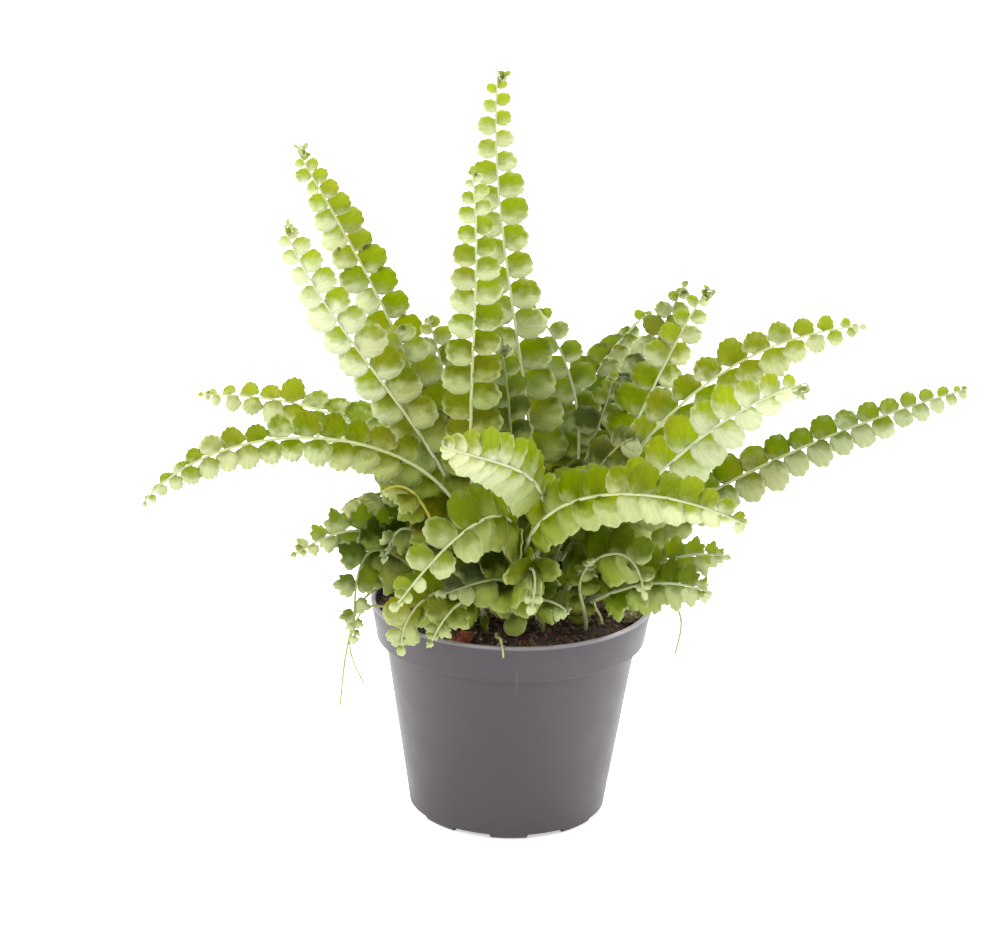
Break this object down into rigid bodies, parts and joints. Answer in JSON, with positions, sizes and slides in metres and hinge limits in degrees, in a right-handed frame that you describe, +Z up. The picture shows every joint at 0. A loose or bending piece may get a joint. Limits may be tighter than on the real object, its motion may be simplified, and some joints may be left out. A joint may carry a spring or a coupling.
{
  "type": "potted fern",
  "caption": "Small sword fern with arching fronds of round scalloped leaflets, growing in soil in a round taper-sided plastic nursery pot.",
  "frame": {"origin": "centre of the flat boss under the pot's floor, on the surface that the pot stands on", "axes": "+Z up out of the pot, -Y towards the front of the plant, +X to the right seen from the front"},
  "size_m": [0.342, 0.2556, 0.3104],
  "materials": {
    "pot_plastic": "matte grey",
    "potting_soil": "moist, crumbly",
    "runner_skin": "fuzzy",
    "leaf_fresh": "thin satin leaf",
    "leaf_pale": "thin satin leaf",
    "leaf_middle": "thin satin leaf",
    "leaf_deep": "thin satin leaf",
    "leaf_yellow": "thin satin leaf"
  },
  "bodies": {
    "root": {"pot": "pot_plastic", "soil": "potting_soil", "runner_left": "runner_skin", "root_left": "runner_skin", "runner_right": "runner_skin", "root_front": "runner_skin", "root_front_right": "runner_skin", "old_stalk": "runner_skin", "frond_tall_back": "leaf_fresh", "frond_tall_front": "leaf_fresh", "frond_left_tall": "leaf_fresh", "frond_left_second": "leaf_pale", "frond_left_high_arch": "leaf_fresh", "frond_left_long_arch": "leaf_fresh", "frond_right_upper": "leaf_fresh", "frond_right_upper_back": "leaf_deep", "frond_right_far_back": "leaf_middle", "frond_right_long_arch": "leaf_fresh", "frond_right_middle": "leaf_pale", "frond_right_long_low": "leaf_middle", "frond_front_right_arch": "leaf_fresh", "frond_front_arch": "leaf_pale", "frond_front_left_low": "leaf_fresh", "frond_rim_front_left": "leaf_fresh", "frond_rim_front_middle": "leaf_fresh", "frond_left_low": "leaf_middle", "frond_left_hanging": "leaf_deep", "frond_left_inner": "leaf_deep", "frond_right_low_upper": "leaf_middle", "frond_right_low": "leaf_middle", "frond_front_rosette": "leaf_fresh", "frond_front_low": "leaf_deep", "frond_front_small": "leaf_middle", "frond_middle_curled": "leaf_deep", "frond_middle_right": "leaf_middle", "frond_left_curled": "leaf_middle", "frond_left_small": "leaf_middle", "frond_yellowed": "leaf_yellow", "frond_middle_left": "leaf_deep", "frond_middle_low": "leaf_deep", "frond_right_inner": "leaf_deep", "frond_front_drooping": "leaf_middle", "frond_right_drooping": "leaf_middle", "frond_left_drooping": "leaf_middle", "frond_inner_right": "leaf_deep", "frond_inner_upper": "leaf_deep", "frond_inner_left": "leaf_deep", "frond_inner_middle": "leaf_deep", "frond_rear_middle": "leaf_middle", "frond_rear_left": "leaf_middle", "frond_rear_right": "leaf_middle", "frond_rear_low_left": "leaf_deep", "frond_rear_low_right": "leaf_deep", "frond_rear_drooping": "leaf_middle", "frond_rear_drooping_right": "leaf_middle", "frond_rear_drooping_left": "leaf_middle"}
  },
  "joints": []
}
